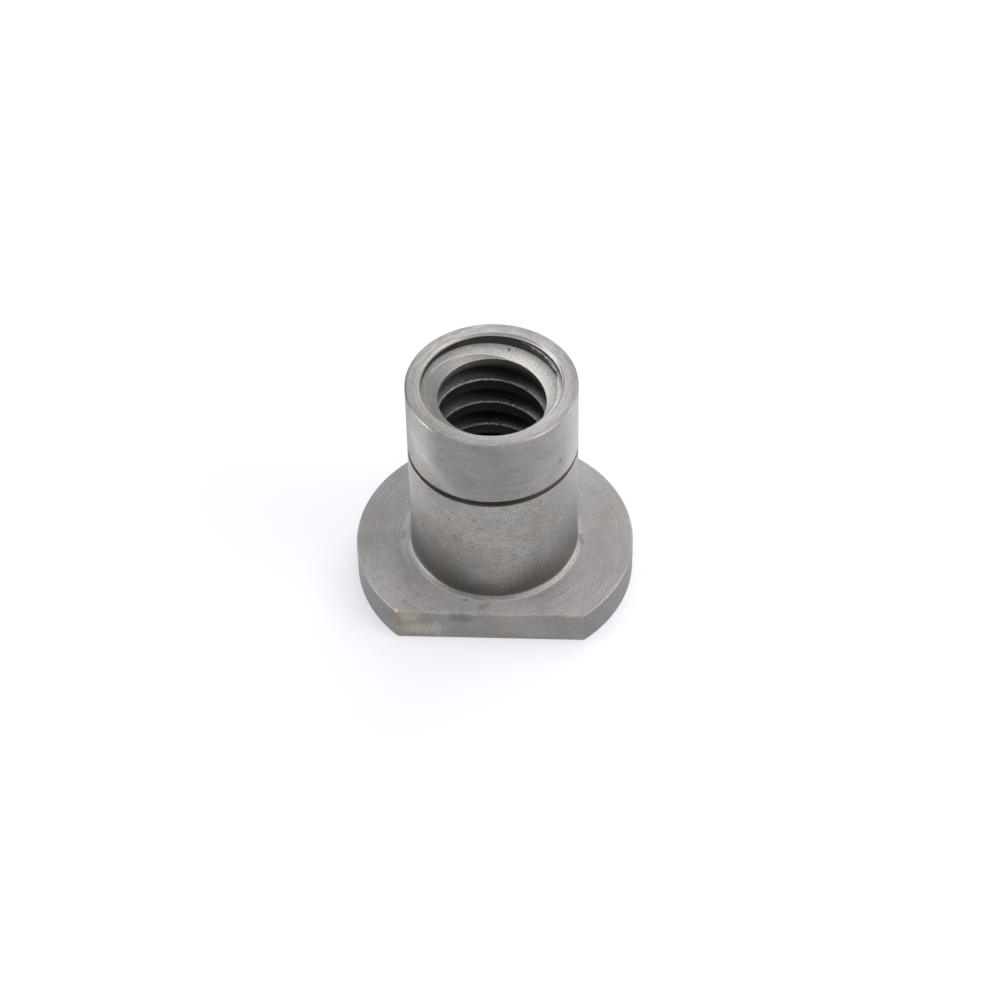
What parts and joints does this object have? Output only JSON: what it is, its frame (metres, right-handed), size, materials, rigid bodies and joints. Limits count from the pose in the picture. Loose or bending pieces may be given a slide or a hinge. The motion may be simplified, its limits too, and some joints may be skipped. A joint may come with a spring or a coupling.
{
  "type": "lifting nut",
  "caption": "Tall round lifting nut with a D-shaped flange, a ring groove on the neck, a shallow counterbore and a coarse right-hand trapezoidal thread for a lead screw.",
  "frame": {"origin": "on the thread's axis at the flange's underside", "axes": "+Z along the thread's axis from the flange to the rim; the flange's flat faces -Y; +X to the right when the flat is seen from the front"},
  "size_m": [0.045, 0.0393, 0.041],
  "materials": {
    "steel": "satin turned grey steel with fine specks and a few rust spots"
  },
  "bodies": {
    "root": {"lifting_nut": "steel"}
  },
  "joints": []
}
